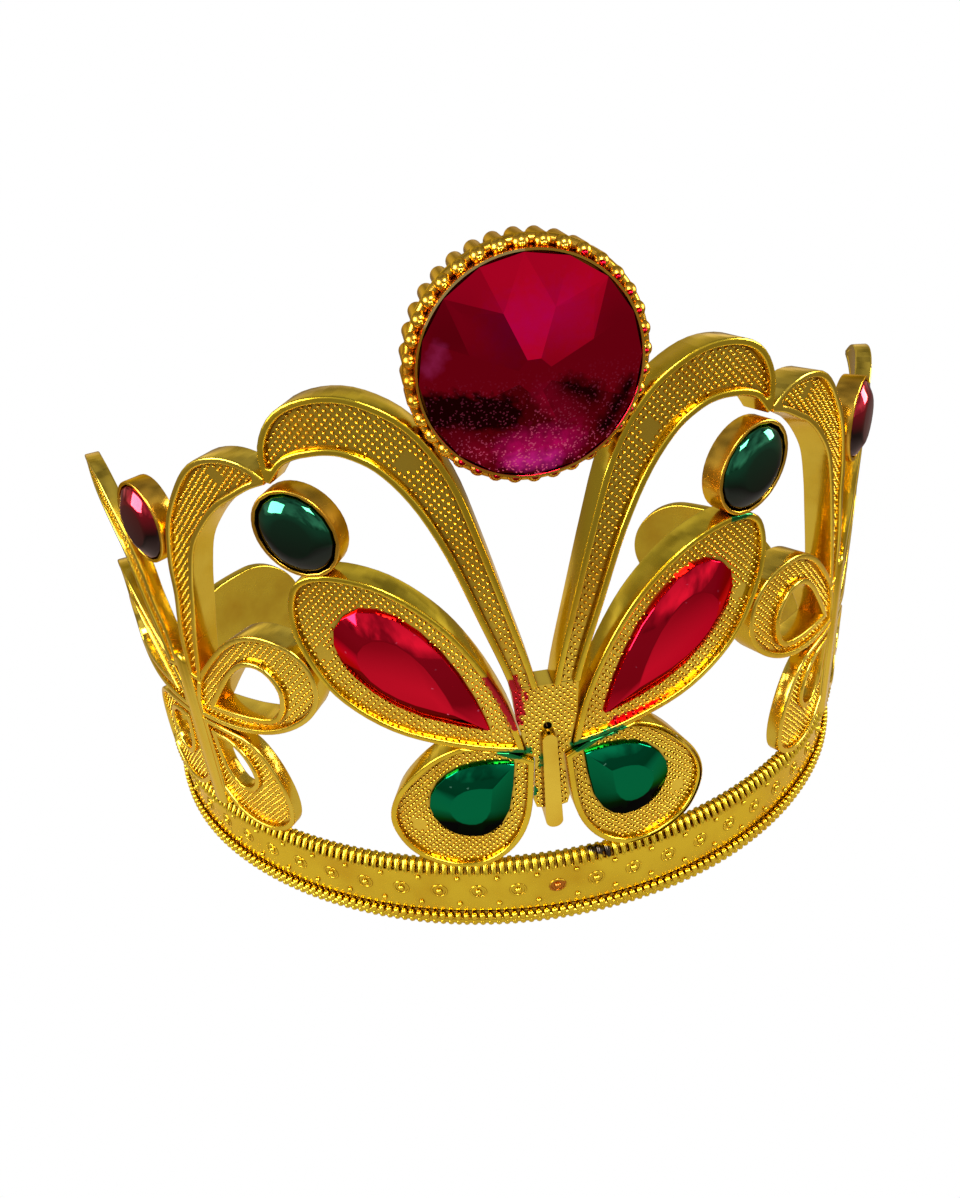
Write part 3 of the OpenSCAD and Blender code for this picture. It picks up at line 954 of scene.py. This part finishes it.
@dataclass
class Band:
    """The band: ribbed lips, and a smooth strip with dimples and dots between them."""

    worn: Finish
    half: float = 112.0
    height: float = 15.0
    strip: float = -1.2
    lip: float = 1.3
    slack: float = 0.05
    shrink: float = 0.5
    lower_draw: float = 0.8
    rib_room: float = 0.8
    rib_pitch: float = 1.46
    rib_radius: float = 0.58
    rib_path: tuple[Pair, ...] = (
        (14.3, -2.6), (14.34, -1.95), (14.18, -1.6), (13.0, -0.78), (12.6, -0.66))
    dimple_room: float = 2.0
    dimple_pitch: float = 7.15
    dimple_shift: float = -3.4
    dimple_z: float = 7.8

    def rib(self) -> Unit:
        """Models one rib of the upper lip: a round bar from the back edge over to the front."""
        Bench.bar("rib", np.array([(0.0, z, out) for z, out in self.rib_path]), self.rib_radius, 1)
        return Bench.unit()

    def ball(self, radius: float, tall: float = 1.0) -> Unit:
        """Models one ball with its poles in front and behind, higher than wide by the second number."""
        bpy.ops.mesh.primitive_uv_sphere_add(segments=8, ring_count=6, radius=radius)
        return Bench.unit((1.0, tall, 1.0))

    def dimple(self) -> Unit:
        """Models the raised, flattened ring of one dimple."""
        bpy.ops.mesh.primitive_torus_add(major_radius=1.38, minor_radius=0.2, major_segments=20, minor_segments=6)
        return Bench.unit((1.0, 0.95, 0.7))

    def core(self, solid: Object) -> None:
        """Draws in the lips of the band, so that their ribs stand where the solid's lips end.

        Args:
            solid: A length of the band.
        """
        obj = Bench.copy_of(solid, f"{solid.name}_core")
        rows = RING.unroll(Bench.points(obj))
        out, z = rows[:, 2], rows[:, 1]
        upper = z > self.height / 2
        middle = np.where(upper, self.height - self.lip, self.lip)
        beside = np.abs(z - middle) <= self.lip + self.slack
        lip = beside & (out > self.strip + self.slack / 2)
        rows[:, 2] = np.where(lip, -self.lip + (out + self.lip) * np.where(upper, 0.0, self.lower_draw), out)
        drawn = (z > self.lip + self.slack) & beside & (lip | (z > self.height - self.slack))
        rows[:, 1] = np.where(drawn, middle + (z - middle) * self.shrink, z)
        Bench.put(obj, RING.wrap(rows))
        Bench.finish(obj, self.worn, Slot.GOLD, solid.name, smooth=30)

    def build(self, solids: Solids) -> None:
        """Builds the band's core, ribs, balls, dimples and dots.

        Args:
            solids: The solids by name.
        """
        for name in ("band", "rear_band_left", "rear_band_right"):
            self.core(solids[name])
        count = int((2 * self.half - self.rib_room) / self.rib_pitch)
        ribs = (np.arange(count) + 0.5 - count / 2) * self.rib_pitch
        count = int(self.half / self.dimple_pitch)
        dimples = self.dimple_shift + (np.arange(-count, count + 1) + 0.5) * self.dimple_pitch
        dimples = dimples[np.abs(dimples) < self.half - self.dimple_room]
        between = dimples[:-1] + self.dimple_pitch / 2
        for name, unit, at, z, out in (
                ("upper_lip_ribs", self.rib(), ribs, 0.0, 0.0),
                ("upper_lip_balls", self.ball(0.42), ribs, 12.45, -0.85),
                ("lower_lip_balls_upper", self.ball(0.66, 1.3), ribs, 1.95, -0.72),
                ("lower_lip_balls_lower", self.ball(0.66, 1.05), ribs, 0.72, -0.72),
                ("dimple_rings", self.dimple(), dimples, self.dimple_z, self.strip),
                ("dimple_balls", self.ball(0.7), dimples, self.dimple_z - 0.1, self.strip - 0.12),
                ("dots_upper", self.ball(0.5), between, 10.9, self.strip),
                ("dots_lower", self.ball(0.5), between, 4.7, self.strip)):
            places = np.column_stack([at, np.full(len(at), z), np.full(len(at), out)])
            Bench.strew(name, unit, places, self.worn, Slot.GOLD)


@dataclass
class Medallion:
    """The medallion's bezel: small balls on its ribs, and red lacquer that ran over its lip.

    Hours of a clock tell where the lacquer is: it tinted the tips of the ribs on the right, and
    the ribs at the bottom are dipped in it.
    """

    gold: Finish
    brown: Finish
    red: Finish
    height: float = 102.0
    ribs: int = 36
    rib_at: float = 14.75
    tip: float = 0.42
    tip_front: float = 1.3
    dipped_tip: float = 1.17
    dipped_front: float = 0.2
    hours: tuple[float, float, float] = (0.9, 4.9, 7.4)
    lip_at: float = 14.22
    lip_front: float = 2.18
    lip_radius: float = 0.22
    lip_turns: Pair = (84.0, -210.0)
    web: Pair = (15.0, 0.8)
    web_front: float = -0.45

    def place(self, turn: np.ndarray, radius: float, out: float) -> np.ndarray:
        """Finds places round the medallion.

        Args:
            turn: Angles from the right, anticlockwise, in radians.
            radius: Distance from its middle.
            out: How far in front of the ring.

        Returns:
            Rows of x, y and z, in metres.
        """
        return MM * np.column_stack([
            radius * np.cos(turn), np.full(len(turn), -out - RING.middle()), self.height + radius * np.sin(turn)])

    def build(self, solids: Solids) -> None:
        """Builds the bezel, the web between its ribs, the balls and the lacquered lip.

        Args:
            solids: The solids by name.
        """
        Softened("bezel", self.brown, smooth=30).build(solids)
        bpy.ops.mesh.primitive_torus_add(
            major_radius=self.web[0] * MM, minor_radius=self.web[1] * MM, major_segments=120, minor_segments=12,
            rotation=(math.pi / 2, 0.0, 0.0))
        web = Bench.unit((1.0, 1.0, 1.15))
        Bench.strew("bezel_web", web, self.place(np.zeros(1), 0.0, self.web_front), self.brown, Slot.GOLD, False)
        turns = np.arange(self.ribs) * 2 * math.pi / self.ribs
        clock = (90 - np.degrees(turns)) / 30 % 12
        tinted_from, dipped_from, until = self.hours
        red, dipped = (clock > tinted_from) & (clock < until), (clock > dipped_from) & (clock < until)
        for name, at, radius, out, slot, material in (
                ("bezel_ball_tips", turns[~red], self.tip, self.tip_front, Slot.GOLD, self.gold),
                ("bezel_red_tips", turns[red], self.tip, self.tip_front, Slot.RED, self.red),
                ("bezel_dipped_ribs", turns[dipped], self.dipped_tip, self.dipped_front, Slot.RED, self.red)):
            bpy.ops.mesh.primitive_uv_sphere_add(
                segments=12, ring_count=8, radius=radius * MM, rotation=(math.pi / 2, 0.0, 0.0))
            Bench.strew(name, Bench.unit(), self.place(at, self.rib_at, out), material, slot, False)
        arc = self.place(np.radians(np.linspace(*self.lip_turns, 150)), self.lip_at, self.lip_front)
        lip = Bench.bar("lacquered_lip", arc, self.lip_radius * MM, 2)
        with Bench.editing(lip):
            bpy.ops.mesh.normals_make_consistent(inside=False)
        Bench.finish(lip, self.red, Slot.RED, smooth=60)


@dataclass(frozen=True)
class Softened:
    """Solids that keep their form, with edges rounded where they have a width.

    The sharp angle tells which edges are rounded, and the smooth one how far the shading runs on.
    """

    name: str
    material: Finish
    width: float = 0.0
    slot: Slot = Slot.GOLD
    ending: str = "rounded"
    sharp: float = 50.0
    smooth: float = 38.0
    flat: float = 1.5

    def build(self, solids: Solids) -> None:
        """Builds the piece, or both where there is one at each side.

        Args:
            solids: The solids by name.
        """
        for name in [name for name in solids if name.startswith(self.name)]:
            obj = Bench.copy_of(solids[name], f"{name}_{self.ending}")
            if self.width:
                with Bench.editing(obj):
                    bpy.ops.mesh.dissolve_limited(angle_limit=math.radians(self.flat))
                bpy.ops.object.modifier_add(type="BEVEL")
                edge = obj.modifiers[-1]
                edge.width, edge.segments, edge.limit_method = self.width * MM, 3, "ANGLE"
                edge.angle_limit, edge.use_clamp_overlap = math.radians(self.sharp), False
                bpy.ops.object.modifier_apply(modifier=edge.name)
            Bench.finish(obj, self.material, self.slot, name, smooth=self.smooth)


@dataclass
class Studio:
    """Camera, floor and lights.

    The two glows are stops of distance or height, each with its colour, in what the plating mirrors.
    A lamp has a name, a place, its size, its power in watts and its colour.
    """

    lens: float = 27.2
    place: Place = (-20.17, -110.88, 135.40)
    yaw: float = -0.031
    pitch: float = 0.497
    roll: float = -0.131
    shift: Pair = (60 / 1198, -30 / 1198)
    floor_glow: tuple = (
        (0.13, (0.60, 0.55, 0.44)), (0.2, (0.72, 0.66, 0.55)), (0.3, (0.66, 0.61, 0.54)),
        (0.46, (0.22, 0.19, 0.16)), (1.0, (0.24, 0.22, 0.20)))
    floor_reach: float = 0.4
    sky_glow: tuple = (
        (0.0, (0.34, 0.32, 0.29)), (0.1, (0.62, 0.60, 0.57)), (0.35, (0.42, 0.41, 0.40)),
        (1.0, (0.25, 0.24, 0.23)))
    aim: Place = (0.0, 0.0, 0.05)
    lamps: tuple = (
        ("left box", (-0.62, -0.24, 0.30), (0.40, 0.34), 5.6, (1.0, 0.98, 0.95)),
        ("right box", (0.62, -0.05, 0.24), (0.20, 0.25), 2.6, (1.0, 0.98, 0.95)),
        ("front box", (0.10, -0.50, 0.55), (0.26, 0.22), 3.6, (1.0, 0.96, 0.9)),
    )

    def camera(self) -> None:
        """Sets the camera at the photograph's viewing angle."""
        bpy.ops.object.camera_add()
        cam = bpy.context.object
        cam.name = "photo_camera"
        cam.data.lens, cam.data.sensor_width = self.lens, 36.0
        cam.data.shift_x, cam.data.shift_y = self.shift
        cam.data.clip_start = 0.001
        x, y, z = self.place
        cam.matrix_world = (
            Matrix.Translation(Vector((x, y - RING.middle(), z)) * MM) @ Matrix.Rotation(self.yaw, 4, "Z")
            @ Matrix.Rotation(math.pi / 2 - self.pitch, 4, "X") @ Matrix.Rotation(self.roll, 4, "Z"))
        bpy.context.scene.camera = cam

    def floor(self) -> None:
        """Lays the plain pale floor, which glows softly near the tiara in what the plating mirrors."""
        bpy.ops.mesh.primitive_plane_add(size=6.0, location=(0, 0, -0.0001))
        ground = bpy.context.object
        ground.name = "floor"
        mat, board = Board.material("pale_floor")
        mat.node_tree.nodes.remove(mat.node_tree.nodes["Principled BSDF"])
        far = board.work("LENGTH", board.add("TexCoord").outputs["Object"])
        glow = board.ramp(board.span(far, from_max=self.floor_reach), self.floor_glow)
        mirrored = board.add("Emission", {"Color": glow}).outputs["Emission"]
        seen = board.add("Emission", {"Color": (1, 1, 1, 1)}).outputs["Emission"]
        board.backdrop(mirrored, seen, "Material Output")
        ground.data.materials.append(mat)

    def light(self) -> None:
        """Hangs the soft boxes, which point at the tiara."""
        for name, at, size, power, tint in self.lamps:
            turn = (Vector(self.aim) - Vector(at)).to_track_quat("-Z", "Y").to_euler()
            bpy.ops.object.light_add(type="AREA", location=at, rotation=turn)
            bpy.context.object.name, light = name, bpy.context.object.data
            light.shape, (light.size, light.size_y) = "RECTANGLE", size
            light.energy, light.color = power, tint

    def sky(self) -> None:
        """Sets the surroundings that the plating mirrors, darker towards the floor, and a white backdrop."""
        world = bpy.data.worlds.new("studio")
        world.use_nodes = True
        bpy.context.scene.world = world
        board = Board(world.node_tree)
        where = board.add("TexCoord").outputs["Generated"]
        height = board.add("SeparateXYZ", {"Vector": where}).outputs["Z"]
        clutter = board.add("TexNoise", {"Vector": where, "Scale": 2.6, "Detail": 3.0}).outputs["Fac"]
        dim = board.add("Background", {
            "Color": board.ramp(height, self.sky_glow),
            "Strength": board.span(clutter, from_min=0.38, from_max=0.62, to_min=0.45, to_max=1.6)})
        white = world.node_tree.nodes["Background"]
        board.feed(white, {"Color": (1, 1, 1, 1), "Strength": 1.0})
        board.backdrop(dim.outputs["Background"], white.outputs["Background"], "World Output")

    def build(self) -> None:
        """Builds the studio."""
        self.camera()
        self.floor()
        self.sky()
        self.light()
        bpy.context.scene.view_settings.view_transform = "Standard"


def main() -> None:
    """Builds the tiara's looks and its studio."""
    logging.basicConfig(level=logging.INFO, format="%(name)s: %(message)s")
    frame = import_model()
    solids = frame["nodes"]
    # A crevice reach paints shade into hollows, such as between pebbles, ribs and dimples.
    grainy = {"colour": (0.92, 0.65, 0.06), "deep": (0.80, 0.49, 0.03), "sheen": (0.15, 0.28), "crevice": 0.8,
              "depths": (0.42, 0.86)}
    gold = Plated("bright_gold", colour=(0.84, 0.59, 0.06)).material()
    brown = Plated("brown_gold", (0.80, 0.46, 0.05), (0.56, 0.24, 0.015), (0.2, 0.34), LIP_SHINE, crevice=0.8,
                   crevice_shade=(0.36, 0.13, 0.006), coat=0.0).material()
    dull = Plated("dull_gold", (0.58, 0.40, 0.025), (0.44, 0.26, 0.01), (0.25, 0.4)).material()
    smeared = Plated("smeared_gold", strokes=SMEARS).material()
    smeared_grain = Plated("smeared_pebbled_gold", strokes=SMEARS, **grainy).material()
    grain = Plated("pebbled_gold", **grainy).material()
    worn = Plated("band_gold", (0.88, 0.62, 0.03), sheen=(0.2, 0.36), strokes=BAND_WEAR, crevice=0.6,
                  depths=(0.45, 0.93)).material()
    red = Lacquer("red_lacquer", (0.76, 0.006, 0.03), (0.16, 0.0, 0.002), (0.9, 0.15, 0.3), 0.996).material()
    # The big stone's strokes are painted light and shade.
    big_red = Lacquer("big_red_lacquer", (0.5, 0.0, 0.02), (0.03, 0.0, 0.0), (1.0, 0.14, 0.34), 0.9, top=0.103,
                      bottom=0.088, turn=(-0.26, -0.06), cells=5200.0, strokes=BIG_STONE_LIGHT_AND_SHADE).material()
    dome_red = Lacquer("polished_red_lacquer", (0.50, 0.001, 0.02), (0.02, 0.0, 0.0), (0.9, 0.15, 0.3),
                       turn=(-0.1, 0.2), coat=0.6).material()
    green = Lacquer("green_lacquer", (0.0, 0.17, 0.07), (0.0, 0.02, 0.008), (0.2, 0.7, 0.5)).material()
    dome_green = Lacquer("polished_green_lacquer", (0.0, 0.14, 0.06), (0.0, 0.006, 0.002), (0.2, 0.7, 0.5),
                         turn=(-0.1, 0.2), coat=0.6).material()
    Castings(gold, grain, smeared, smeared_grain).build(solids)
    Band(worn).build(solids)
    for piece in (
            Softened("end_tab", dull, 0.4), Softened("side_bar", gold, 0.8), Softened("green_setting", brown, 0.22),
            Softened("red_setting", brown, 0.22), Softened("butterfly_body", smeared_grain, smooth=30)):
        piece.build(solids)
    Medallion(gold, brown, red).build(solids)
    for name, material, width, slot, smooth in (
            ("green_stone", dome_green, 0.9, Slot.GREEN, 35), ("red_stone", dome_red, 0.5, Slot.RED, 35),
            ("upper_wing_stone", red, 0.14, Slot.RED, 14), ("lower_wing_stone", green, 0.14, Slot.GREEN, 14)):
        Softened(name, material, width, slot, "polished", 12, smooth).build(solids)
    big_stone = solids["round_stone"].data.materials
    big_stone.clear()
    big_stone.append(big_red)
    Studio().build()


if __name__ == "__main__":
    main()
